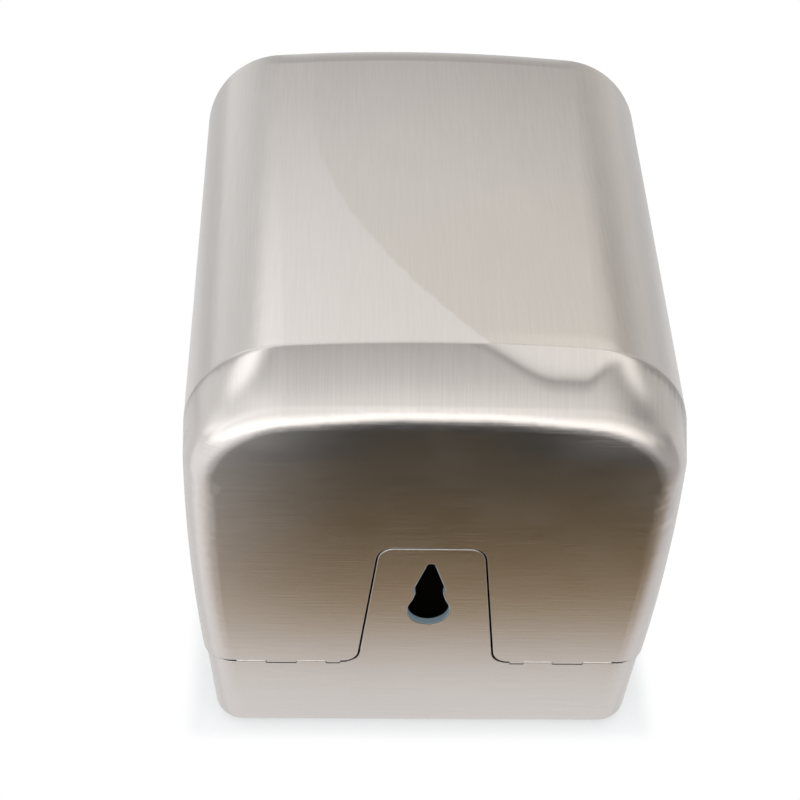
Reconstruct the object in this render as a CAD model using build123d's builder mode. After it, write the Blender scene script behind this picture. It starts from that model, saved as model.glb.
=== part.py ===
"""Wall-mounted centrefeed roll dispenser in brushed stainless steel, lying on its back.

X is across the object, Y runs from the outlet end to the lock end, Z rises from the wall face
to the front. The origin is the centre of the wall fixing holes, on the wall face.
"""
from math import hypot
import os

from build123d import *

os.makedirs("parts", exist_ok=True)

# Overall size of the closed body, in millimetres
width = 240.0
depth = 259.0
length = 321.0
sheet = 0.6
flange_height = 1.8
outlet_y = -(length + flange_height) / 2
lock_end_y = outlet_y + length

# Cover form
pan_depth = 55.0
form_skirt = 5.0
side_belly = 3.8
side_lean = 2.8
side_flare = 4.2
front_crown = 8.0
outlet_crown = 4.0
bevel = 26.5
front_corner = 55.0
lock_end_corner = 44.0
lock_end_round = 36.0
outlet_round = 16.0

# Back pan
lap_gap = 0.3
lap_height = 7.0
pan_lean = 4.5
pan_back_round = 9.0
seam_gap = 0.3
corner_zone = 22.0
wall_hole = 6.0
wall_spacing_x = 140.0
wall_spacing_y = 200.0

# Tongue in the outlet face
tongue_top = 144.0
tongue_base_half = 36.5
tongue_tip_half = 26.8
tongue_corner = 8.5
tongue_flare = 9.0
tongue_foot = 4.0
tongue_return = 6.0
tongue_gap = 0.9
tongue_edge_round = 0.5

# Rolled hinge along the seam of the outlet face, on both sides of the tongue
pin_diameter = 0.9
pin_clearance = 0.05
swing_gap = 0.12
knuckle_gap = 0.3
full_knuckles = 3
first_knuckle = 7.5
hinge_start = tongue_base_half + tongue_flare + 0.5
hinge_end = width / 2 - outlet_round - 2.0
bore_radius = pin_diameter / 2 + pin_clearance
knuckle_radius = bore_radius + sheet
swing_radius = knuckle_radius + swing_gap
hinge_y = outlet_y + knuckle_radius
hinge_z = pan_depth

# Tree-shaped outlet
outlet_z = 97.5
outlet_radius = 11.4
outlet_tip_z = 130.4
outlet_tip_radius = 2.8
outlet_notch_z = 113.4
outlet_notch_half = 8.6
outlet_neck_z = 109.7
outlet_neck_half = 7.6

# Plastic outlet guide and its studs
guide_half = 23.0
guide_bottom = 80.0
guide_top = 139.0
guide_thickness = 5.0
guide_lip = 0.4
stud_diameter = 3.0
stud_length = 9.0
stud_half = 18.0
stud_low_z = 85.5
stud_high_z = 133.5
nut_width = 5.5
nut_height = 2.4
stud_washer_diameter = 7.0
stud_washer_height = 0.5
guide_corner = 4.0
guide_mouth = 1.5

# Stiffening channel behind the foot of the tongue
channel_half = 15.0
channel_flange = 22.0
channel_depth = 8.0
channel_bottom = 12.0
channel_top = 76.0

# Cam lock in the end wall of the cover
lock_z = pan_depth + 30.0
lock_diameter = 16.0
lock_flange = 19.0
lock_length = 20.0
plug_diameter = 11.0
plug_clearance = 0.05
cam_length = 30.0
cam_width = 13.0
cam_thickness = 2.0
cam_square = 6.0
lock_nut_width = 22.0
lock_nut_height = 4.0
lock_washer_height = 1.0
screw_diameter = 4.0
screw_head = 7.5
screw_head_height = 2.5
screw_depth = 8.0
cam_washer_height = 0.8
cam_washer_diameter = 9.0
keyway_width = 2.0
keyway_height = 8.0
keyway_depth = 8.0
stop_height = 1.0
stop_inner = 5.6
stop_outer = 7.7
stop_lug_angle = 24.0
stop_play_angle = 2.0
turn_angle = 90.0

# Strike that the cam closes under
strike_sheet = 1.5
strike_near_x = 15.0
strike_far_x = 32.0
strike_gap = 0.5
strike_overhang = 2.0
strike_setback = 5.0
strike_foot = 26.0
rivet_head = 6.5
rivet_height = 1.6
rivet_setback = 6.5
rivet_spacing = 12.0

# Cutting blocks run this far past what they cut
past = 1.0


def cover_outline(y, half_width, top, crown, corner):
    """Outline across the cover at one station of its length."""
    shoulder = top - crown
    foot = pan_depth - form_skirt
    waist = (foot + shoulder) / 2
    head_half = half_width + side_lean
    waist_half = half_width + side_lean / 2 + side_belly
    with BuildSketch(Plane.XZ.offset(-y)) as outline:
        with BuildLine():
            Line((-half_width, foot), (half_width, foot))
            ThreePointArc((half_width, foot), (waist_half, waist), (head_half, shoulder))
            ThreePointArc((head_half, shoulder), (0, top), (-head_half, shoulder))
            ThreePointArc((-head_half, shoulder), (-waist_half, waist), (-half_width, foot))
        make_face()
        fillet(outline.vertices().group_by(Axis.Y)[-1], corner)
    return outline.sketch.face()


def cover_form(inset):
    """Solid form of the cover, drawn in by one distance on every side."""
    half = width / 2 - inset
    slant = hypot(bevel, bevel) / bevel
    near_top = depth - bevel - inset * (slant - 1)
    crease = bevel + inset * (slant - 1)

    near = cover_outline(outlet_y + inset, half, near_top, outlet_crown, front_corner - inset)
    rest = [
        cover_outline(outlet_y + y, half + side_flare * y / length, depth - inset, front_crown, r - inset)
        for y, r in ((crease, front_corner), (length - inset, lock_end_corner))
    ]
    with BuildPart() as form:
        loft([near, rest[0]], ruled=True)
        loft(rest, ruled=True)
        far_edges = form.faces().sort_by(Axis.Y)[-1].edges()
        fillet([e for e in far_edges if e.center().Z > pan_depth - form_skirt / 2], lock_end_round - inset)
        near_edges = form.faces().sort_by(Axis.Y)[0].edges()
        fillet([e for e in near_edges if e.center().Z > pan_depth - form_skirt / 2], outlet_round - inset)
    return form.part


def slab(x0, x1, y0, y1, z0, z1):
    """Plain block between two corners, with y measured from the outlet face."""
    block = Box(x1 - x0, y1 - y0, z1 - z0, align=Align.MIN, mode=Mode.PRIVATE)
    return Pos(x0, outlet_y + y0, z0) * block


def rod_x(x0, x1, radius):
    """Round bar along the hinge line."""
    with BuildPart() as bar:
        with BuildSketch(Plane.YZ.offset(x0)):
            with Locations((hinge_y, hinge_z)):
                Circle(radius)
        extrude(amount=x1 - x0)
    return bar.part


def rod_y(x, z, y0, y1, radius):
    """Round bar along Y, with y measured from the outlet face."""
    with BuildPart() as bar:
        with BuildSketch(Plane.XZ.offset(-outlet_y - y1)):
            with Locations((x, z)):
                Circle(radius)
        extrude(amount=y1 - y0)
    return bar.part


def hex_y(x, z, y0, y1, flats, bore):
    """Hexagonal nut along Y with its bore."""
    with BuildPart() as nut:
        with BuildSketch(Plane.XZ.offset(-outlet_y - y1)):
            with Locations((x, z)):
                RegularPolygon(flats / 2, 6, major_radius=False)
                Circle(bore / 2, mode=Mode.SUBTRACT)
        extrude(amount=y1 - y0)
    return nut.part


def knuckle_spans(pan_side):
    """Spans of the rolled knuckles on the right half, cover first, then pan, in turn."""
    first_end = hinge_start + first_knuckle
    pitch = (hinge_end - first_end) / full_knuckles
    edges = [hinge_start] + [first_end + i * pitch for i in range(full_knuckles + 1)]
    spans = list(zip(edges[:-1], edges[1:]))
    return spans[1::2] if pan_side else spans[0::2]


def both_sides(spans):
    """The same spans on the right and on the left."""
    return spans + [(-b, -a) for a, b in spans]


def tongue_outline(grow, rise=0.0):
    """Outline of the tongue in the outlet face, grown by a gap, with a foot below the seam."""
    foot = pan_depth - tongue_foot
    seam = pan_depth + rise
    base = tongue_base_half + grow
    tip = tongue_tip_half + grow
    with BuildSketch(Plane.XZ.offset(-outlet_y)) as outline:
        with BuildLine():
            Polyline(
                (hinge_start, foot), (hinge_start, seam), (base, seam), (tip, tongue_top + grow),
                (-tip, tongue_top + grow), (-base, seam), (-hinge_start, seam), (-hinge_start, foot),
                close=True,
            )
        make_face()
        fillet(outline.vertices().group_by(Axis.Y)[-1], tongue_corner + grow)
        seam_corners = outline.vertices().filter_by(lambda v: abs(v.Y - seam) < 0.01)
        fillet([v for v in seam_corners if abs(v.X) < base + past], tongue_flare - grow)
    return outline.sketch.face()


def tongue_tray():
    """Tongue plate with its edges turned inwards, open on the roll side."""
    straight_from = pan_depth + tongue_flare + tongue_gap
    with BuildPart() as tray:
        extrude(tongue_outline(0), amount=-(sheet + tongue_return))
        front = tray.faces().sort_by(Axis.Y)[0].edges().filter_by(lambda e: e.center().Z > pan_depth + past)
        fillet(front, tongue_edge_round)
        inner = offset(tongue_outline(0).moved(Location((0, sheet, 0))), amount=-sheet, mode=Mode.PRIVATE)
        extrude(inner.faces()[0], amount=-2 * tongue_return, mode=Mode.SUBTRACT)
    behind = slab(-width, width, sheet, 3 * tongue_return, 0, straight_from)
    return tray.part - behind


def outlet_outline(grow):
    """Tree-shaped outlet: a round mouth below, a neck and a narrow tip for tearing."""
    with BuildSketch(Plane.XZ.offset(-outlet_y)) as outline:
        with BuildLine():
            Polyline(
                (outlet_radius, outlet_z), (outlet_neck_half, outlet_neck_z), (outlet_notch_half, outlet_notch_z),
                (outlet_tip_radius, outlet_tip_z), (-outlet_tip_radius, outlet_tip_z),
                (-outlet_notch_half, outlet_notch_z), (-outlet_neck_half, outlet_neck_z),
                (-outlet_radius, outlet_z), close=True,
            )
        make_face()
        with Locations((0, outlet_z)):
            Circle(outlet_radius)
        with Locations((0, outlet_tip_z)):
            Circle(outlet_tip_radius)
        if grow:
            offset(amount=grow)
    return outline.sketch.face()


def outlet_cut(grow, y0, y1):
    """Prism of the outlet, from one depth behind the outlet face to another."""
    with BuildPart() as prism:
        extrude(outlet_outline(grow), amount=-y1)
    return prism.part - slab(-width, width, -past, y0, 0, depth) if y0 > 0 else prism.part


def pan_plan(z, inset, lean=0.0):
    """Plan outline of the back pan at one height, with the sides and lock end leaning in."""
    half = width / 2 - sheet - lap_gap - inset - lean
    far_half = half + side_flare
    far = lock_end_y - sheet - lap_gap - inset - lean
    near = outlet_y + inset
    with BuildSketch(Plane.XY.offset(z)) as plan:
        with BuildLine():
            Polyline((-half, near), (half, near), (far_half, far), (-far_half, far), close=True)
        make_face()
        fillet(plan.vertices().group_by(Axis.Y)[0], outlet_round - inset)
        fillet(plan.vertices().group_by(Axis.Y)[-1], lock_end_round - inset)
    return plan.sketch.face()


def pan_form(inset):
    """Solid form of the pan below the seam, drawn in by one distance."""
    with BuildPart() as form:
        loft([pan_plan(inset, inset, pan_lean), pan_plan(pan_depth, inset)], ruled=True)
        fillet(form.faces().sort_by(Axis.Z)[0].edges(), pan_back_round - inset)
    return form.part


def pan_lap():
    """Upright rim of the pan that the cover closes over, clear of the hinge end."""
    with BuildPart() as rim:
        extrude(pan_plan(pan_depth, 0), amount=lap_height)
        extrude(pan_plan(pan_depth, sheet), amount=lap_height, mode=Mode.SUBTRACT)
    return rim.part - slab(-width, width, -past, corner_zone, 0, depth)


def knuckle_cuts(spans, z0, z1):
    """Clearance windows across the seam for the knuckles of the other half."""
    back = 2 * knuckle_radius + past
    return [
        slab(a - knuckle_gap / 2, b + knuckle_gap / 2, -past, back, z0, z1)
        for a, b in both_sides(spans)
    ]


def corner_reliefs():
    """Slots beyond the last knuckles, where the cover edge would meet the pan as it swings."""
    return [
        slab(a, b, -past, swing_radius, 0, hinge_z + swing_radius)
        for a, b in both_sides([(hinge_end, width)])
    ]


def knuckle_rolls(spans, upward):
    """Sheet edge rolled round the pin, with the free end of the roll left open."""
    rolls = []
    for a, b in both_sides(spans):
        x0 = a + knuckle_gap / 2
        x1 = b - knuckle_gap / 2
        ring = rod_x(x0, x1, knuckle_radius) - rod_x(x0, x1, bore_radius)
        step = sheet if upward else -sheet
        low, high = sorted((hinge_z + step / 4, hinge_z + step / 4 + 2 * step))
        ring -= slab(x0, x1, sheet, knuckle_radius, low, high)
        low, high = sorted((hinge_z, hinge_z + 3 * step))
        rolls.append(ring + slab(x0, x1, 0, sheet, low, high) - rod_x(x0, x1, bore_radius))
    return rolls


def lock_sector(inner, outer, start, size, height):
    """Part of a ring round the lock axis, standing on the back end of the lock body."""
    with BuildPart() as ring:
        with BuildSketch(Plane.XZ.offset(-outlet_y - lock_back)):
            with BuildLine():
                rim = CenterArc((0, lock_z), outer, start, size)
                root = CenterArc((0, lock_z), inner, start, size)
                Line(rim @ 0, root @ 0)
                Line(rim @ 1, root @ 1)
            make_face()
        extrude(amount=height)
    return ring.part


cover_spans = knuckle_spans(False)
pan_spans = knuckle_spans(True)

# Cover: one deep shell with the rolled hinge edge, the tongue cut-out and the lock hole
with BuildPart() as cover_shell:
    add(cover_form(0))
    add(cover_form(sheet), mode=Mode.SUBTRACT)
    add(slab(-width, width, -past, length + past, 0, pan_depth), mode=Mode.SUBTRACT)
    add(slab(-width, width, -past, corner_zone, 0, pan_depth + seam_gap), mode=Mode.SUBTRACT)
    add(knuckle_cuts(pan_spans, 0, hinge_z + swing_radius), mode=Mode.SUBTRACT)
    add(corner_reliefs(), mode=Mode.SUBTRACT)
    extrude(tongue_outline(tongue_gap, swing_radius), amount=3 * sheet, both=True, mode=Mode.SUBTRACT)
    add(knuckle_rolls(cover_spans, True))
    add(rod_y(0, lock_z, length - 2 * sheet, length + past, lock_diameter / 2), mode=Mode.SUBTRACT)

# Pan: tray with rolled hinge edge, lap rim, tongue, outlet and wall holes
with BuildPart() as back_pan:
    add(pan_form(0))
    add(pan_form(sheet), mode=Mode.SUBTRACT)
    add(knuckle_cuts(cover_spans, hinge_z - swing_radius, depth), mode=Mode.SUBTRACT)
    add(pan_lap())
    add(knuckle_rolls(pan_spans, False))

    add(tongue_tray())
    add(outlet_cut(0, 0, 2 * sheet), mode=Mode.SUBTRACT)
    with BuildSketch(Plane.XY):
        with GridLocations(wall_spacing_x, wall_spacing_y, 2, 2):
            Circle(wall_hole / 2)
    extrude(amount=2 * sheet, mode=Mode.SUBTRACT)

# Hinge pins, held in the pan knuckles
with BuildPart() as hinge_pin_right:
    add(rod_x(hinge_start + knuckle_gap, hinge_end - knuckle_gap, pin_diameter / 2))

with BuildPart() as hinge_pin_left:
    add(rod_x(knuckle_gap - hinge_end, -hinge_start - knuckle_gap, pin_diameter / 2))

# Plastic guide behind the outlet, a little smaller than the sheet opening
guide_back = sheet + guide_thickness
stud_places = [(x, z) for x in (-stud_half, stud_half) for z in (stud_low_z, stud_high_z)]
with BuildPart() as outlet_guide:
    add(slab(-guide_half, guide_half, sheet, guide_back, guide_bottom, guide_top))
    fillet(outlet_guide.edges().filter_by(Axis.Y), guide_corner)
    add(outlet_cut(-guide_lip, 0, guide_back + past), mode=Mode.SUBTRACT)
    add(outlet_cut(guide_mouth, guide_back - guide_mouth, guide_back + past), mode=Mode.SUBTRACT)
    for x, z in stud_places:
        add(rod_y(x, z, 0, guide_back + past, stud_diameter / 2), mode=Mode.SUBTRACT)

# Welded studs on the back of the tongue, with their washers and nuts
with BuildPart() as guide_studs:
    for x, z in stud_places:
        add(rod_y(x, z, sheet, sheet + stud_length, stud_diameter / 2))

nut_seat = guide_back + stud_washer_height
with BuildPart() as guide_washers:
    for x, z in stud_places:
        add(rod_y(x, z, guide_back, nut_seat, stud_washer_diameter / 2))
        add(rod_y(x, z, guide_back, nut_seat, stud_diameter / 2), mode=Mode.SUBTRACT)

with BuildPart() as guide_nuts:
    for x, z in stud_places:
        add(hex_y(x, z, nut_seat, nut_seat + nut_height, nut_width, stud_diameter))

# Folded channel that stiffens the foot of the tongue where the roll stands
with BuildPart() as shelf_channel:
    add(slab(-channel_half, channel_half, sheet, sheet + channel_depth, channel_bottom, channel_top))
    fillet(shelf_channel.edges().filter_by(Axis.Z).group_by(Axis.Y)[-1], 2 * sheet)
    add(
        slab(sheet - channel_half, channel_half - sheet, 0, channel_depth, 0, depth),
        mode=Mode.SUBTRACT,
    )
    add(slab(-channel_flange, channel_flange, sheet, 2 * sheet, channel_bottom, channel_top))
    add(slab(sheet - channel_half, channel_half - sheet, 0, channel_depth, 0, depth), mode=Mode.SUBTRACT)

# Cam lock: body through the cover wall, nut and washer inside, a lug on its back end as the stop
wall_inside = length - sheet
lock_back = length - lock_length
lug_start = turn_angle - stop_lug_angle / 2
with BuildPart() as lock_body:
    add(rod_y(0, lock_z, lock_back, length, lock_diameter / 2))
    add(rod_y(0, lock_z, length, length + flange_height, lock_flange / 2))
    fillet(lock_body.faces().sort_by(Axis.Y)[-1].edges(), flange_height / 3)
    bore = plug_diameter / 2 + plug_clearance
    add(rod_y(0, lock_z, 0, 2 * length, bore), mode=Mode.SUBTRACT)
    lug_height = stop_height - plug_clearance
    add(lock_sector(stop_inner + plug_clearance, stop_outer, lug_start, stop_lug_angle, lug_height))

washer_back = wall_inside - lock_washer_height
with BuildPart() as lock_washer:
    add(rod_y(0, lock_z, washer_back, wall_inside, lock_nut_width / 2))
    add(rod_y(0, lock_z, 0, length, lock_diameter / 2), mode=Mode.SUBTRACT)

with BuildPart() as lock_nut:
    add(hex_y(0, lock_z, washer_back - lock_nut_height, washer_back, lock_nut_width, lock_diameter))
    rims = lock_nut.edges().filter_by(lambda e: e.geom_type == GeomType.LINE and abs(e.tangent_at(0).Y) < 0.5)
    chamfer(rims, lock_nut_height / 8)

# Turning plug with its keyway and square tail
cam_front = lock_back - stop_height
tail_back = cam_front - cam_thickness
with BuildPart() as lock_plug:
    add(rod_y(0, lock_z, lock_back, length + flange_height - flange_height / 3, plug_diameter / 2))
    add(
        slab(
            -cam_square / 2, cam_square / 2, tail_back, lock_back,
            lock_z - cam_square / 2, lock_z + cam_square / 2,
        )
    )
    add(
        slab(
            -keyway_width / 2, keyway_width / 2, length - keyway_depth, length + 2 * flange_height,
            lock_z - keyway_height / 2, lock_z + keyway_height / 2,
        ),
        mode=Mode.SUBTRACT,
    )
    add(rod_y(0, lock_z, 0, lock_back + screw_depth, screw_diameter / 2), mode=Mode.SUBTRACT)

# Notched washer on the tail that meets the lug at both ends of the turn
notch = stop_lug_angle + turn_angle + 2 * stop_play_angle
notch_end = lug_start - stop_play_angle + notch
with BuildPart() as stop_washer:
    with BuildSketch(Plane.XZ.offset(-outlet_y - lock_back)):
        with Locations((0, lock_z)):
            Circle(stop_inner)
            Rectangle(cam_square, cam_square, mode=Mode.SUBTRACT)
    extrude(amount=stop_height)
    add(lock_sector(stop_inner - past, stop_outer, notch_end, 360 - notch, stop_height))

# Cam, pointing to the wall while the lock is open
with BuildPart() as lock_cam:
    with BuildSketch(Plane.XZ.offset(-outlet_y - cam_front)):
        with Locations((0, lock_z)):
            Circle(cam_width / 2)
        with Locations((0, lock_z - (cam_length - cam_width / 2) / 2)):
            Rectangle(cam_width, cam_length - cam_width / 2)
        with Locations((0, lock_z - cam_length + cam_width / 2)):
            Circle(cam_width / 2)
        with Locations((0, lock_z)):
            Rectangle(cam_square, cam_square, mode=Mode.SUBTRACT)
    extrude(amount=cam_thickness)

with BuildPart() as cam_washer:
    add(rod_y(0, lock_z, tail_back - cam_washer_height, tail_back, cam_washer_diameter / 2))
    add(rod_y(0, lock_z, 0, length, screw_diameter / 2), mode=Mode.SUBTRACT)

head_front = tail_back - cam_washer_height
with BuildPart() as cam_screw:
    add(rod_y(0, lock_z, head_front, lock_back + screw_depth, screw_diameter / 2))
    add(rod_y(0, lock_z, head_front - screw_head_height, head_front, screw_head / 2))
    fillet(cam_screw.faces().sort_by(Axis.Y)[0].edges(), screw_head_height / 4)
    add(
        slab(
            -keyway_width / 4, keyway_width / 4, 0, head_front - screw_head_height / 2,
            lock_z - screw_head, lock_z + screw_head,
        ),
        mode=Mode.SUBTRACT,
    )

# Strike standing on the pan, with the lip over the closed cam
lip_z = lock_z + cam_width / 2 + strike_gap
lip_tip = tail_back - strike_overhang
stem_y = lock_back + strike_setback
foot_y = stem_y - strike_foot
with BuildPart() as lock_strike:
    add(slab(-strike_far_x, -strike_near_x, stem_y, stem_y + strike_sheet, sheet, lip_z + strike_sheet))
    add(slab(-strike_far_x, -strike_near_x, lip_tip, stem_y + strike_sheet, lip_z, lip_z + strike_sheet))
    add(slab(-strike_far_x, -strike_near_x, foot_y, stem_y + strike_sheet, sheet, sheet + strike_sheet))
    bends = lock_strike.edges().filter_by(Axis.X).group_by(Axis.Y)[-1].sort_by(Axis.Z)
    fillet([bends[0], bends[-1]], strike_sheet)

rivet_x = -(strike_near_x + strike_far_x) / 2
rivet_ys = [outlet_y + foot_y + rivet_setback + i * rivet_spacing for i in range(2)]
with BuildPart() as strike_rivets:
    with BuildSketch(Plane.XY.offset(sheet + strike_sheet)):
        with Locations([(rivet_x, y) for y in rivet_ys]):
            Circle(rivet_head / 2)
    extrude(amount=rivet_height)
    fillet(strike_rivets.edges().group_by(Axis.Z)[-1], rivet_height / 2)

pieces = {
    "cover_shell": cover_shell,
    "back_pan": back_pan,
    "hinge_pin_right": hinge_pin_right,
    "hinge_pin_left": hinge_pin_left,
    "outlet_guide": outlet_guide,
    "guide_studs": guide_studs,
    "guide_washers": guide_washers,
    "guide_nuts": guide_nuts,
    "shelf_channel": shelf_channel,
    "lock_body": lock_body,
    "lock_washer": lock_washer,
    "lock_nut": lock_nut,
    "lock_plug": lock_plug,
    "stop_washer": stop_washer,
    "lock_cam": lock_cam,
    "cam_washer": cam_washer,
    "cam_screw": cam_screw,
    "lock_strike": lock_strike,
    "strike_rivets": strike_rivets,
}
for name, piece in pieces.items():
    piece.part.label = name
    export_step(piece.part, f"parts/{name}.step")
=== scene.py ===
import math

import bpy
from mathutils import Matrix, Vector


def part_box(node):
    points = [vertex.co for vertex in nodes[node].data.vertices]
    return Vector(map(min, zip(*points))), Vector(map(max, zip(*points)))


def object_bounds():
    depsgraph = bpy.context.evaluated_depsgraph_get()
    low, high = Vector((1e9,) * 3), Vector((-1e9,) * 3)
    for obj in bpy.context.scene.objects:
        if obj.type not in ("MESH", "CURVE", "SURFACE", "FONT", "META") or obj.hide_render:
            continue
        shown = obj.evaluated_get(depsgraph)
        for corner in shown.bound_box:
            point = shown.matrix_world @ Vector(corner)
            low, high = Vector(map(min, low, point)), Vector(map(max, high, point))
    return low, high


# Looks of the centrefeed roll dispenser: brushed sheet steel, plated and moulded small parts,
# on a pale floor in a soft studio. Lengths are in metres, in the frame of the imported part.
# A pair of values is the two ends of a smooth change, unless its comment says something else.
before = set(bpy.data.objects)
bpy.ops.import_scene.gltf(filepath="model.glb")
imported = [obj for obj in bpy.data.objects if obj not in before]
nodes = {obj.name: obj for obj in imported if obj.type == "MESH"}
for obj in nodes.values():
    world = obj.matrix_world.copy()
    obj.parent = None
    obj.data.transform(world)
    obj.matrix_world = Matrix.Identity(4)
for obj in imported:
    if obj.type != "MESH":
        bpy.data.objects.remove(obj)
cad_low, cad_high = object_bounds()

# Camera of the photograph: focal length in pixels of the 800 frame, angles in degrees
PHOTO_SIZE = 800
FOCAL_PX = 1719.5
ELEVATION = 41.6
AZIMUTH = -2.81
ROLL = 2.54
DISTANCE = 0.9162
TARGET = (-0.0158, -0.0792, 0.1723)
SENSOR = 36.0
CLIP_START = 0.01
CLIP_END = 50

# Colours as linear values
STEEL = (0.600, 0.566, 0.545)
PIN_STEEL = (0.52, 0.51, 0.50)
ZINC = (0.58, 0.60, 0.63)
CHROME = (0.66, 0.66, 0.67)
PLASTIC = (0.27, 0.36, 0.41)
WHITE = (1, 1, 1, 1)

# Components of a vector by their number
X, Y, Z = 0, 1, 2

# Which way a surface faces, by one component of its normal
END_FACE = (0.84, 0.90)
UPRIGHT = (0.60, 0.30)
LEVEL_FRONT = (0.85, 0.95)
BAND_FORWARD = (0.40, 0.60)
BAND_UP = (0.30, 0.55)
ROLL_FORWARD = (0.71, 0.82)

# Slanted band below the front: its creased and its rolled end
cover_low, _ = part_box("cover_shell")
CREASE_Y = cover_low.y + 0.0265
BAND_END_Y = cover_low.y + 0.0047
BAND_SQUARE = (0.0, 0.707, 0.707)

# The band is pressed slightly hollow, and its crease fades on the right and comes back
HOLLOW_SLOPE = 0.15
FADED_SLOPE = 0.58
FADED_SPREAD = (0.08, -0.62)
FADED_REACH = 0.72
CREASE_FADES = (0.008, 0.056)
CREASE_RETURNS = (0.094, 0.068)
FRONT_LIFT = 0.13
FRONT_LIFT_ABOVE = 0.012

# The rolled near edge droops towards its ends
SAG_SLOPE = 0.19
SAG_ASIDE = (0.020, 0.090)
SAG_HEIGHT = (0.198, 0.224)

# Shaded rounding: cut edges, the folds round the slanted band, and the same folds at its corners
CUT_RADIUS = 0.0003
FOLD_RADIUS = 0.0014
CORNER_RADIUS = 0.0035
CORNER_BLEND = 0.84
CORNER_ASIDE = (0.074, 0.100)
CORNER_AHEAD = (CREASE_Y + 0.030, CREASE_Y + 0.012)
CORNER_ABOVE = (0.125, 0.150)
CUT_FACING = (0.95, 0.99)
CUT_MIDDLE = (0.105, 0.090)
CUTS_BELOW = (0.200, 0.170)
LOST_MARGIN = 0.006
BEVEL_SAMPLES = 6

# Painted shade on the bare edges of the sheet in the outlet face, standing in for the shade in the gaps
# between the parts
CUT_EDGE_PAINTED_SHADE = 0.45
CUT_EDGE_DEPTH = (cad_low.y + 0.0012, cad_low.y + 0.0007)
CUT_EDGE_FACING = (0.6, 0.3)

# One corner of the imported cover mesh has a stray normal. The shading works out the face's own there,
# which leans aside by the round of the cover's upright corner, and at least by the lean.
STRAY_AT = (-0.1103, -0.1612, 0.1858)
STRAY_REACH = (0.0050, 0.0034)
STRAY_LEAN = 0.04
SIDE_ROUND = 0.016

# Where noise lies: its middle, and the range that takes up most of it
NOISE_MEAN = 0.5
NOISE_RANGE = (0.3, 0.7)

# Brushing: width of a streak and how many times longer it is
FINE_STREAKS = (0.0007, 45)
COARSE_STREAKS = (0.0024, 25)
DRIFT_STREAKS = (0.018, 5)
COARSE_SHARE = 0.20
DRIFT_SHARE = 0.20
TONE_RANGE = (0.34, 0.66)
TONE_SPREAD = 0.020
ROUGHNESS_SPREAD = 0.015
SMUDGE_SCALE = 26.0
SMUDGE_DETAIL = 3.0
SMUDGE_RANGE = (0.42, 0.72)
SMUDGE_ROUGHNESS = 0.02
SHEET_RELIEF = (0.06, 1.0)
SHEET_RELIEF_DEPTH = 0.00004
ANISOTROPY = 0.65

# Small metal parts: fine grain with larger patches. The relief is a strength and a depth.
GRAIN_DETAIL = 4.0
GRAIN_SHARE = 0.5
GRAIN_TONES = (0.35, 0.65)
GRAIN_SMOOTHER = 0.04
GRAIN_ROUGHER = 0.06
GRAIN_RELIEF = (0.15, 0.00003)
PATCH_SCALE = 0.12

# Moulded plastic: fine grain, and clouds of a slightly different shade. The relief is as above.
MOULD_GRAIN = 2600.0
MOULD_DETAIL = 3.0
MOULD_CLOUDS = 60.0
MOULD_SPREAD = 0.08
MOULD_ROUGHNESS = (0.36, 0.50)
MOULD_RELIEF = (0.25, 0.00005)

# Painted reflection across the front: beyond a parabola that starts straight and curves to the right, the
# colour is darker, standing in for a darker thing mirrored in the metal
REFLECTION_LINE_START_X = -0.066
REFLECTION_LINE_START_Y = 0.080
REFLECTION_LINE_CURVE = 1.92
PAINTED_REFLECTION_SHADE = (0.885, 0.875, 0.85)
REFLECTION_LINE_BLUR = (-0.0006, 0.0022)
REFLECTION_LINE_FRAY = 0.004
PAINTED_REFLECTION_FAINTEST = 0.25

# Floor: its paint, its contact shadow, and how bright the metal mirrors it
FLOOR_PAINT = (0.93, 0.975, 1.0, 1)
FLOOR_HALF = 4
FLOOR_HEIGHT = -0.0002
FLOOR_SHADOW_SHARE = 0.52
SHADOW_REACH = 0.013
MIRRORED_SPAN_X = (-0.3, 0.3)
MIRRORED_LEVEL_X = (0.93, 0.88)
MIRRORED_SPAN_Y = (0.15, 0.6)
MIRRORED_LEVEL_Y = (1.0, 0.8)

# What the outlet face reflects: a table that is pale at its edge, dark and warm further off, and
# paler at both sides. Each stop is a distance from the outlet face and the colour of the table there.
TABLE_STOPS = [
    (0.000, (1.00, 1.00, 1.00)), (0.030, (0.96, 0.95, 0.94)), (0.058, (0.80, 0.74, 0.69)),
    (0.082, (0.44, 0.34, 0.19)), (0.112, (0.26, 0.165, 0.075)), (0.145, (0.150, 0.095, 0.030)),
    (0.180, (0.085, 0.066, 0.032)), (0.225, (0.035, 0.034, 0.030)), (0.300, (0.020, 0.022, 0.022)),
]
TABLE_SPAN = 0.300
TABLE_HALF = 3.5
TABLE_HEIGHT = 0.001
LEFT_COLOUR = (1.20, 1.20, 1.22)
RIGHT_COLOUR = (0.58, 0.57, 0.57)
LEFT_TO_RIGHT = (-0.10, 0.20)
SIDE_CENTRE = 0.045
SIDE_REACH = (0.07, 0.42)

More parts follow.
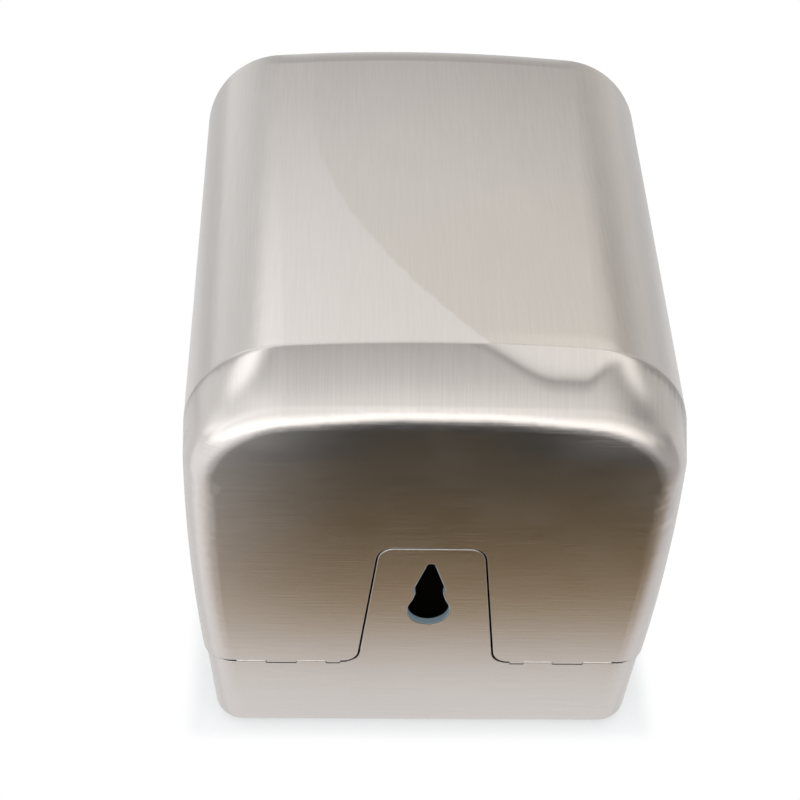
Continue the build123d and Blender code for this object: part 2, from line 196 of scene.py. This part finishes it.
# Studio room: grey levels by the height of a direction, for the half behind and the half in front.
# The room is shaded left and right as well, each by a span of X and its two levels.
ROOM_RADIUS = 3.4
ROOM_RINGS = 32
ROOM_SIDES = 64
RAMP_TOP = 4.0
BEHIND_LEVELS = [(0.0, 0.72), (0.30, 0.63), (0.50, 0.555), (0.63, 1.08), (0.75, 1.22), (1.0, 1.12)]
FRONT_LEVELS = [
    (0.0, 0.50), (0.06, 1.05), (0.14, 1.9), (0.22, 2.3), (0.32, 2.2), (0.42, 1.62), (0.50, 1.40),
    (0.66, 1.26), (0.745, 1.18), (0.85, 0.77), (0.90, 0.68), (0.95, 0.44), (0.985, 0.92), (1.0, 1.12),
]
FRONT_TO_BEHIND = (-0.25, 0.25)
FAR_LEFT = (-0.5, -0.02, 1.50, 1.0)
FAR_RIGHT = (0.12, 0.45, 1.0, 1.14)
NEAR_LEFT = (-0.90, -0.40, 0.68, 1.0)
NEAR_CENTRE_LEFT = (-0.18, 0.02, 1.15, 1.0)
NEAR_RIGHT = (0.30, 0.85, 1.0, 0.30)
CAST_SPAN = (-0.5, 0.5)
CAST_LEFT = (0.985, 0.995, 0.99)
CAST_RIGHT = (1.0, 0.985, 0.95)


def put(tree, kind, inputs=None, **settings):
    """Adds a node, sets its options, then fills or links its inputs."""
    made = tree.nodes.new(kind)
    for key, value in settings.items():
        setattr(made, key, value)
    for key, value in (inputs or {}).items():
        if isinstance(value, bpy.types.NodeSocket):
            tree.links.new(value, made.inputs[key])
        else:
            made.inputs[key].default_value = value
    return made


def maths(tree, operation, *values):
    """One Math node; returns its output."""
    return put(tree, "ShaderNodeMath", dict(enumerate(values)), operation=operation).outputs[0]


def product(tree, first, *others):
    """Values multiplied one after another."""
    for other in others:
        first = maths(tree, "MULTIPLY", first, other)
    return first


def weigh(tree, a, b, share):
    """Share of value a with the rest of value b."""
    return maths(tree, "MULTIPLY_ADD", a, share, maths(tree, "MULTIPLY", b, 1.0 - share))


def size_of(tree, value):
    """Value without its sign."""
    return maths(tree, "ABSOLUTE", value)


def vector(tree, operation, *values):
    """One Vector Math node; returns its vector output."""
    inputs = {0: values[0], "Scale": values[1]} if operation == "SCALE" else dict(enumerate(values))
    made = put(tree, "ShaderNodeVectorMath", inputs, operation=operation)
    return made.outputs["Vector"]


def measure(tree, operation, *values):
    """One Vector Math node; returns its number output."""
    made = put(tree, "ShaderNodeVectorMath", dict(enumerate(values)), operation=operation)
    return made.outputs["Value"]


def split(tree, value):
    """The X, Y and Z outputs of a vector."""
    parts = put(tree, "ShaderNodeSeparateXYZ", {0: value}).outputs
    return parts["X"], parts["Y"], parts["Z"]


def joined(tree, components):
    """Vector from some of its components, by their number; the others are 0."""
    return put(tree, "ShaderNodeCombineXYZ", components).outputs[0]


def remap(tree, value, low, high, to_low=0.0, to_high=1.0):
    """Smooth change from one level to another as a value crosses a range."""
    made = put(
        tree, "ShaderNodeMapRange",
        {"Value": value, "From Min": low, "From Max": high, "To Min": to_low, "To Max": to_high},
        interpolation_type="SMOOTHSTEP",
    )
    return made.outputs["Result"]


def blend_numbers(tree, share, a, b):
    """Number a where share is 0, number b where it is 1."""
    return put(tree, "ShaderNodeMix", {0: share, 2: a, 3: b}, data_type="FLOAT").outputs[0]


def blend_vectors(tree, share, a, b):
    """Vector a where share is 0, vector b where it is 1."""
    return put(tree, "ShaderNodeMix", {0: share, 4: a, 5: b}, data_type="VECTOR").outputs[1]


def blend_colours(tree, share, a, b, **settings):
    """Colour a where share is 0, colour b where it is 1."""
    return put(tree, "ShaderNodeMix", {0: share, 6: a, 7: b}, data_type="RGBA", **settings).outputs[2]


def blend_surfaces(tree, share, a, b):
    """Surface a where share is 0, surface b where it is 1."""
    return put(tree, "ShaderNodeMixShader", {0: share, 1: a, 2: b}).outputs[0]


def tint(tree, value, low, high):
    """Colour between two fixed colours by a value."""
    return blend_colours(tree, value, (*low, 1), (*high, 1))


def noise(tree, place, scale, detail=2.0, rough=0.55):
    """Noise between about 0 and 1 at a place."""
    made = put(
        tree, "ShaderNodeTexNoise",
        {"Vector": place, "Scale": scale, "Detail": detail, "Roughness": rough},
    )
    return made.outputs["Fac"]


def bump(tree, strength, depth, height, normal=None):
    """Normal from fine relief, on the surface's own normal or on one that is given."""
    inputs = {"Strength": strength, "Distance": depth, "Height": height}
    if normal is not None:
        inputs["Normal"] = normal
    return put(tree, "ShaderNodeBump", inputs).outputs[0]


def emission(tree, colour, strength):
    """Glow of one colour and strength."""
    return put(tree, "ShaderNodeEmission", {"Color": colour, "Strength": strength}).outputs[0]


def object_place(tree):
    """Place on the object, in the object's own frame."""
    return put(tree, "ShaderNodeTexCoord").outputs["Object"]


def to_world(tree, direction):
    """Direction of the object's frame turned into the scene's frame."""
    return put(
        tree, "ShaderNodeVectorTransform", {0: direction},
        vector_type="VECTOR", convert_from="OBJECT", convert_to="WORLD",
    ).outputs[0]


def new_material(name):
    """Empty node material and its tree."""
    material = bpy.data.materials.new(name)
    material.use_nodes = True
    material.node_tree.nodes.clear()
    return material, material.node_tree


def finish_surface(tree, inputs):
    """Principled surface with its fixed values on its own sockets."""
    shader = put(tree, "ShaderNodeBsdfPrincipled", inputs)
    put(tree, "ShaderNodeOutputMaterial", {"Surface": shader.outputs[0]})


def fill_ramp(ramp, stops):
    """Sets a colour ramp to pairs of place and colour."""
    elements = ramp.color_ramp.elements
    while len(elements) < len(stops):
        elements.new(0.5)
    for element, (at, colour) in zip(elements, stops):
        element.position = at
        element.color = (*colour, 1)


def shades(colour, spread):
    """A darker and a lighter shade of one colour."""
    return [c * (1 - spread) for c in colour], [c * (1 + spread) for c in colour]


def streaks(tree, place, upright, width, stretch):
    """Noise drawn out along the brushing: along Y on the front, level on the upright walls."""
    across = 1.0 / width
    along = across / stretch
    flat = noise(tree, vector(tree, "MULTIPLY", place, (across, along, along)), 1.0)
    wall = noise(tree, vector(tree, "MULTIPLY", place, (along, along, across)), 1.0)
    return blend_numbers(tree, upright, flat, wall)


def crease_gone(tree, x):
    """How far the crease is smoothed away along its length: 1 where it's gone."""
    return product(tree, remap(tree, x, *CREASE_FADES), remap(tree, x, *CREASE_RETURNS))


def fold_radius(tree, place, facing):
    """Shaded rounding of the folds, widest at the near corners, least at cut edges and the lost crease."""
    x, y, z = split(tree, place)
    near = product(tree, remap(tree, y, *CORNER_AHEAD), remap(tree, z, *CORNER_ABOVE))
    corner = product(tree, remap(tree, size_of(tree, x), *CORNER_ASIDE), near)
    ends = remap(tree, size_of(tree, facing[Y]), *CUT_FACING)
    middle = remap(tree, size_of(tree, x), *CUT_MIDDLE)
    cut = product(tree, ends, middle, remap(tree, z, *CUTS_BELOW))
    below_crease = remap(tree, y, BAND_END_Y + LOST_MARGIN, CREASE_Y - LOST_MARGIN)
    lost = product(tree, crease_gone(tree, x), below_crease)
    wide = blend_numbers(tree, corner, FOLD_RADIUS, CORNER_RADIUS)
    return blend_numbers(tree, maths(tree, "MAXIMUM", cut, lost), wide, CUT_RADIUS)


def pressed_shape(tree, place, facing):
    """Slope added to the shading of the slanted band, the front just above it and the rolled edge below."""
    x, y, z = split(tree, place)
    forward = maths(tree, "MULTIPLY", facing[Y], -1.0)
    down = put(
        tree, "ShaderNodeMapRange", {"Value": y, "From Min": CREASE_Y, "From Max": BAND_END_Y},
    ).outputs["Result"]
    up = maths(tree, "SUBTRACT", 1.0, down)

    # Hollow band whose crease fades on the right
    on_band = product(tree, remap(tree, forward, *BAND_FORWARD), remap(tree, facing[Z], *BAND_UP))
    hollow = product(tree, up, HOLLOW_SLOPE)
    faded_to = product(tree, crease_gone(tree, x), FADED_REACH)
    past_faded = maths(tree, "SUBTRACT", down, faded_to)
    faded = remap(tree, past_faded, *FADED_SPREAD, 0.0, FADED_SLOPE)
    slope = product(tree, on_band, maths(tree, "ADD", hollow, faded))
    pressed = vector(tree, "SCALE", BAND_SQUARE, slope)

    # Front that starts to turn down where the crease is gone
    above_lost = product(tree, crease_gone(tree, x), remap(tree, facing[Z], *LEVEL_FRONT))
    lift = product(tree, above_lost, remap(tree, y, CREASE_Y + FRONT_LIFT_ABOVE, CREASE_Y))
    lifted = vector(tree, "SCALE", (0.0, -FRONT_LIFT, 0.0), lift)

    # Corners where the band melts into the sides, and the droop of the near edge
    to_corner = remap(tree, size_of(tree, x), *CORNER_ASIDE, 0.0, CORNER_BLEND)
    corner = product(tree, product(tree, forward, up), to_corner)
    on_roll = product(tree, remap(tree, z, *SAG_HEIGHT), remap(tree, forward, *ROLL_FORWARD))
    sag = product(tree, remap(tree, size_of(tree, x), *SAG_ASIDE, 0.0, SAG_SLOPE), on_roll)
    return vector(tree, "ADD", vector(tree, "ADD", pressed, lifted), joined(tree, {Y: corner, Z: sag}))


def stray_spot(tree, place):
    """1 at the stray corner of the cover mesh, and the normal that the face has there."""
    share = remap(tree, measure(tree, "DISTANCE", place, STRAY_AT), *STRAY_REACH)
    x, _, _ = split(tree, place)
    aside = product(tree, maths(tree, "SUBTRACT", x, STRAY_AT[X]), 1.0 / SIDE_ROUND)
    aside = maths(tree, "MINIMUM", maths(tree, "SUBTRACT", aside, STRAY_LEAN), -STRAY_LEAN)
    return share, vector(tree, "NORMALIZE", joined(tree, {X: aside, Y: -1.0}))


def across_brushing(tree, normal, facing):
    """Tangent square to the brushing, which is level on the end faces and follows the walls round to them."""
    end_face = remap(tree, size_of(tree, facing[Y]), *END_FACE)
    turned = maths(tree, "GREATER_THAN", product(tree, facing[X], facing[Y]), 0.0)
    level_grain = joined(tree, {X: maths(tree, "MULTIPLY_ADD", turned, -2.0, 1.0)})
    grain = blend_vectors(tree, end_face, (0.0, 1.0, 0.0), level_grain)
    crossing = vector(tree, "NORMALIZE", vector(tree, "CROSS_PRODUCT", grain, normal))
    return to_world(tree, crossing)


def painted_shade_on_cut_edges(tree, place, facing, shade):
    """Painted shade: colour that drops on the bare sheet edges in the outlet face, standing in for the shade
    in the gaps there.
    """
    at_face = remap(tree, split(tree, place)[Y], *CUT_EDGE_DEPTH)
    cut_edge = product(tree, at_face, remap(tree, size_of(tree, facing[Y]), *CUT_EDGE_FACING))
    return vector(tree, "SCALE", shade, maths(tree, "MULTIPLY_ADD", cut_edge, CUT_EDGE_PAINTED_SHADE - 1.0, 1.0))


def painted_reflection_side(tree, place, facing, coarse, shade):
    """Painted reflection: slightly darker colour beyond a curved line that crosses the front, standing in for
    a darker thing mirrored there.
    """
    x, y, _ = split(tree, place)
    reach = maths(tree, "MAXIMUM", maths(tree, "SUBTRACT", REFLECTION_LINE_START_Y, y), 0.0)
    edge = maths(tree, "MULTIPLY_ADD", product(tree, reach, reach), REFLECTION_LINE_CURVE, REFLECTION_LINE_START_X)
    beyond = maths(tree, "SUBTRACT", x, edge)
    beyond = maths(tree, "MULTIPLY_ADD", maths(tree, "SUBTRACT", coarse, NOISE_MEAN), REFLECTION_LINE_FRAY, beyond)
    share = product(
        tree, remap(tree, beyond, *REFLECTION_LINE_BLUR), remap(tree, facing[Z], *LEVEL_FRONT),
        remap(tree, y, REFLECTION_LINE_START_Y, CREASE_Y, PAINTED_REFLECTION_FAINTEST, 1.0),
    )
    darker_reflection = blend_colours(tree, share, WHITE, (*PAINTED_REFLECTION_SHADE, 1))
    return blend_colours(tree, 1.0, shade, darker_reflection, blend_type="MULTIPLY")


def brushed_sheet(name, colour, roughness, cover_shape_and_reflection=False):
    """Brushed sheet metal whose grain runs along Y, and along X on the two end faces."""
    material, tree = new_material(name)
    coords = put(tree, "ShaderNodeTexCoord").outputs
    place = coords["Object"]
    stray, face_normal = stray_spot(tree, place)
    normal = blend_vectors(tree, stray, coords["Normal"], face_normal)
    facing = split(tree, normal)
    upright = remap(tree, size_of(tree, facing[Z]), *UPRIGHT)

    # Fine and coarse brushing, broad drift and finger smudges
    fine = streaks(tree, place, upright, *FINE_STREAKS)
    coarse = streaks(tree, place, upright, *COARSE_STREAKS)
    drift = streaks(tree, place, upright, *DRIFT_STREAKS)
    smudge = remap(tree, noise(tree, place, SMUDGE_SCALE, SMUDGE_DETAIL), *SMUDGE_RANGE)
    brushing = weigh(tree, coarse, fine, COARSE_SHARE)
    level = remap(tree, weigh(tree, drift, brushing, DRIFT_SHARE), *TONE_RANGE)
    rough = remap(tree, brushing, *NOISE_RANGE, roughness - ROUGHNESS_SPREAD, roughness + ROUGHNESS_SPREAD)
    rough = maths(tree, "MULTIPLY_ADD", smudge, SMUDGE_ROUGHNESS, rough)
    # Colour with its random tone, and painted shade on the bare cut edges of the sheet
    shade = painted_shade_on_cut_edges(tree, place, facing, tint(tree, level, *shades(colour, TONE_SPREAD)))

    # Softened folds, and on the cover the pressed shape and the painted reflection beyond a curved line
    radius = fold_radius(tree, place, facing)
    soft = put(tree, "ShaderNodeBevel", {"Radius": radius}, samples=BEVEL_SAMPLES).outputs[0]
    soft = blend_vectors(tree, stray, soft, to_world(tree, face_normal))
    if cover_shape_and_reflection:
        shade = painted_reflection_side(tree, place, facing, coarse, shade)
        slope = to_world(tree, pressed_shape(tree, place, facing))
        soft = vector(tree, "NORMALIZE", vector(tree, "ADD", soft, slope))
    strength = remap(tree, upright, 0.0, 1.0, *SHEET_RELIEF)
    finish_surface(tree, {
        "Base Color": shade, "Metallic": 1.0, "Roughness": rough, "Anisotropic": ANISOTROPY,
        "Tangent": across_brushing(tree, normal, facing),
        "Normal": bump(tree, strength, SHEET_RELIEF_DEPTH, fine, normal=soft),
    })
    return material


def turned_metal(name, colour, roughness, grain_size, spread):
    """Small plated, drawn or polished metal parts with fine uneven grain."""
    material, tree = new_material(name)
    place = object_place(tree)
    grain = noise(tree, place, 1.0 / grain_size, GRAIN_DETAIL)
    patches = noise(tree, place, PATCH_SCALE / grain_size)
    level = remap(tree, weigh(tree, grain, patches, GRAIN_SHARE), *GRAIN_TONES)
    rough = remap(tree, grain, *NOISE_RANGE, roughness - GRAIN_SMOOTHER, roughness + GRAIN_ROUGHER)
    finish_surface(tree, {
        "Base Color": tint(tree, level, *shades(colour, spread)), "Metallic": 1.0,
        "Roughness": rough, "Normal": bump(tree, *GRAIN_RELIEF, grain),
    })
    return material


def moulded_plastic(name, colour):
    """Matt moulded plastic with a fine spark-eroded grain."""
    material, tree = new_material(name)
    place = object_place(tree)
    grain = noise(tree, place, MOULD_GRAIN, MOULD_DETAIL)
    clouds = noise(tree, place, MOULD_CLOUDS)
    finish_surface(tree, {
        "Base Color": tint(tree, remap(tree, clouds, *NOISE_RANGE), *shades(colour, MOULD_SPREAD)),
        "Roughness": remap(tree, grain, *NOISE_RANGE, *MOULD_ROUGHNESS),
        "Normal": bump(tree, *MOULD_RELIEF, grain),
    })
    return material


def dress(material, names):
    """Gives CAD nodes one material in all their slots."""
    for name in names:
        mesh = nodes[name].data
        mesh.materials.clear()
        mesh.materials.append(material)


def mesh_object(name, points, faces):
    """New object in the scene from points and faces."""
    mesh = bpy.data.meshes.new(name)
    mesh.from_pydata(points, [], faces)
    made = bpy.data.objects.new(name, mesh)
    bpy.context.scene.collection.objects.link(made)
    return made


def plane(name, low, high, height):
    """Flat rectangle at one height."""
    corners = [(low[0], low[1]), (high[0], low[1]), (high[0], high[1]), (low[0], high[1])]
    made = mesh_object(name, [(x, y, height) for x, y in corners], [(0, 1, 2, 3)])
    return made


def only_reflections(thing, material):
    """Gives a thing its glow and shows it in the metal only, not to the camera, the floor or the shadows."""
    thing.data.materials.append(material)
    material.cycles.emission_sampling = "NONE"
    thing.visible_camera = False
    thing.visible_diffuse = False
    thing.visible_shadow = False
    thing.visible_transmission = False


def shown_to(tree, *kinds):
    """1 for these kinds of ray, 0 for the others."""
    path = put(tree, "ShaderNodeLightPath")
    total = path.outputs[kinds[0]]
    for kind in kinds[1:]:
        total = maths(tree, "MAXIMUM", total, path.outputs[kind])
    return total


def contact_shadow(tree, spot):
    """How much of the floor's shadow shows, fading with the distance from the back pan."""
    pan_low, pan_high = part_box("back_pan")
    middle = (pan_low + pan_high) / 2
    reach = (pan_high - pan_low) / 2
    offset = vector(tree, "ABSOLUTE", vector(tree, "SUBTRACT", spot, (middle.x, middle.y, 0.0)))
    past_edge = vector(tree, "SUBTRACT", offset, (reach.x, reach.y, 0.0))
    away = measure(tree, "LENGTH", vector(tree, "MAXIMUM", past_edge, (0.0, 0.0, 0.0)))
    return remap(tree, away, 0.0, SHADOW_REACH, FLOOR_SHADOW_SHARE, 0.0)


def lay_floor():
    """Pale floor that keeps the contact shadow, is plain white elsewhere and is dimmer in the metal."""
    floor = plane("floor", (-FLOOR_HALF, -FLOOR_HALF), (FLOOR_HALF, FLOOR_HALF), FLOOR_HEIGHT)
    material, tree = new_material("pale_floor")
    spot = object_place(tree)
    x, y, _ = split(tree, spot)
    paint = put(tree, "ShaderNodeBsdfDiffuse", {"Color": FLOOR_PAINT}).outputs[0]
    dimmed = product(
        tree, remap(tree, x, *MIRRORED_SPAN_X, *MIRRORED_LEVEL_X),
        remap(tree, y, *MIRRORED_SPAN_Y, *MIRRORED_LEVEL_Y),
    )
    seen = shown_to(tree, "Is Camera Ray", "Is Transmission Ray")
    plain = product(tree, seen, maths(tree, "SUBTRACT", 1.0, contact_shadow(tree, spot)))
    mixed = blend_surfaces(tree, plain, paint, emission(tree, WHITE, 1.0))
    mirrored = shown_to(tree, "Is Glossy Ray")
    mixed = blend_surfaces(tree, mirrored, mixed, emission(tree, WHITE, dimmed))
    put(tree, "ShaderNodeOutputMaterial", {"Surface": mixed})
    floor.data.materials.append(material)


def lay_table():
    """Table in front of the outlet face, seen only in the metal."""
    outlet_face = cad_low.y
    table = plane("dark_table", (-TABLE_HALF, -TABLE_HALF), (TABLE_HALF, outlet_face), TABLE_HEIGHT)
    material, tree = new_material("dark_table")
    x, y, _ = split(tree, object_place(tree))
    ahead = maths(tree, "SUBTRACT", outlet_face, y)
    centre = put(tree, "ShaderNodeValToRGB", {0: maths(tree, "DIVIDE", ahead, TABLE_SPAN)})
    fill_ramp(centre, [(distance / TABLE_SPAN, colour) for distance, colour in TABLE_STOPS])
    sides = tint(tree, remap(tree, x, *LEFT_TO_RIGHT), LEFT_COLOUR, RIGHT_COLOUR)
    aside = size_of(tree, maths(tree, "SUBTRACT", x, SIDE_CENTRE))
    tone = blend_colours(tree, remap(tree, aside, *SIDE_REACH), centre.outputs[0], sides)
    put(tree, "ShaderNodeOutputMaterial", {"Surface": emission(tree, tone, 1.0)})
    only_reflections(table, material)


def room_shape():
    """Points and faces of the round room."""
    heights = [math.pi * (i / ROOM_RINGS - 0.5) for i in range(ROOM_RINGS + 1)]
    turns = [2 * math.pi * k / ROOM_SIDES for k in range(ROOM_SIDES)]
    points = [
        (
            ROOM_RADIUS * math.cos(height) * math.cos(turn),
            ROOM_RADIUS * math.cos(height) * math.sin(turn),
            ROOM_RADIUS * math.sin(height),
        )
        for height in heights for turn in turns
    ]
    faces = []
    for i in range(ROOM_RINGS):
        for k in range(ROOM_SIDES):
            low, high, following = i * ROOM_SIDES, (i + 1) * ROOM_SIDES, (k + 1) % ROOM_SIDES
            faces.append((low + k, low + following, high + following, high + k))
    return points, faces


def levels_by(tree, value, levels):
    """Grey level by a value, from pairs of value and level."""
    made = put(tree, "ShaderNodeValToRGB", {0: value})
    made.color_ramp.interpolation = "EASE"
    fill_ramp(made, [(at, (level / RAMP_TOP,) * 3) for at, level in levels])
    return product(tree, made.outputs[0], RAMP_TOP)


def hang_room():
    """Soft studio room round the object, seen only in the metal."""
    room = mesh_object("studio_room", *room_shape())
    material, tree = new_material("studio_room")
    x, y, z = split(tree, vector(tree, "NORMALIZE", object_place(tree)))
    near_left = product(tree, remap(tree, x, *NEAR_LEFT), remap(tree, x, *NEAR_CENTRE_LEFT))
    near_sides = product(tree, near_left, remap(tree, x, *NEAR_RIGHT))
    far_sides = product(tree, remap(tree, x, *FAR_LEFT), remap(tree, x, *FAR_RIGHT))
    front = product(tree, levels_by(tree, z, FRONT_LEVELS), near_sides)
    behind = product(tree, levels_by(tree, z, BEHIND_LEVELS), far_sides)
    level = blend_numbers(tree, remap(tree, y, *FRONT_TO_BEHIND), front, behind)
    cast = tint(tree, remap(tree, x, *CAST_SPAN), CAST_LEFT, CAST_RIGHT)
    put(tree, "ShaderNodeOutputMaterial", {"Surface": emission(tree, cast, level)})
    only_reflections(room, material)


def light_world():
    """Even white world, which lights the floor and the plastic."""
    world = bpy.data.worlds.new("pale_world")
    world.use_nodes = True
    background = world.node_tree.nodes["Background"]
    background.inputs["Color"].default_value = WHITE
    background.inputs["Strength"].default_value = 1.0
    bpy.context.scene.world = world


def aim_camera():
    """Camera at the photograph's viewing angle."""
    azimuth, elevation, roll = (math.radians(angle) for angle in (AZIMUTH, ELEVATION, ROLL))
    aside = math.cos(elevation)
    back = Vector((math.sin(azimuth) * aside, -math.cos(azimuth) * aside, math.sin(elevation)))
    right = (-back).cross(Vector((0, 0, 1))).normalized()
    up = right.cross(-back)
    right_rolled = right * math.cos(roll) + up * math.sin(roll)
    up_rolled = up * math.cos(roll) - right * math.sin(roll)
    data = bpy.data.cameras.new("photo_camera")
    data.sensor_width = SENSOR
    data.lens = FOCAL_PX * SENSOR / PHOTO_SIZE
    data.clip_start = CLIP_START
    data.clip_end = CLIP_END
    camera = bpy.data.objects.new("photo_camera", data)
    bpy.context.scene.collection.objects.link(camera)
    turned = Matrix((right_rolled, up_rolled, back)).transposed().to_4x4()
    turned.translation = Vector(TARGET) + back * DISTANCE
    camera.matrix_world = turned
    bpy.context.scene.camera = camera


# The cover also gets its pressed shape and the painted reflection across its front
dress(brushed_sheet("cover_steel", STEEL, roughness=0.23, cover_shape_and_reflection=True), ["cover_shell"])
dress(brushed_sheet("brushed_steel", STEEL, roughness=0.23), ["back_pan"])
dress(brushed_sheet("folded_steel", STEEL, roughness=0.30), ["shelf_channel"])
dress(turned_metal("drawn_steel", PIN_STEEL, roughness=0.30, grain_size=0.0008, spread=0.05), [
    "hinge_pin_right", "hinge_pin_left", "guide_studs", "strike_rivets",
])
dress(turned_metal("zinc_plate", ZINC, roughness=0.34, grain_size=0.0012, spread=0.07), [
    "guide_washers", "guide_nuts", "lock_washer", "lock_nut", "lock_cam", "stop_washer", "cam_washer",
    "cam_screw", "lock_strike",
])
dress(turned_metal("nickel_plate", CHROME, roughness=0.16, grain_size=0.0010, spread=0.03), [
    "lock_body", "lock_plug",
])
dress(moulded_plastic("grey_blue_plastic", PLASTIC), ["outlet_guide"])

lay_floor()
lay_table()
hang_room()
light_world()
aim_camera()
bpy.context.scene.view_settings.view_transform = "Standard"
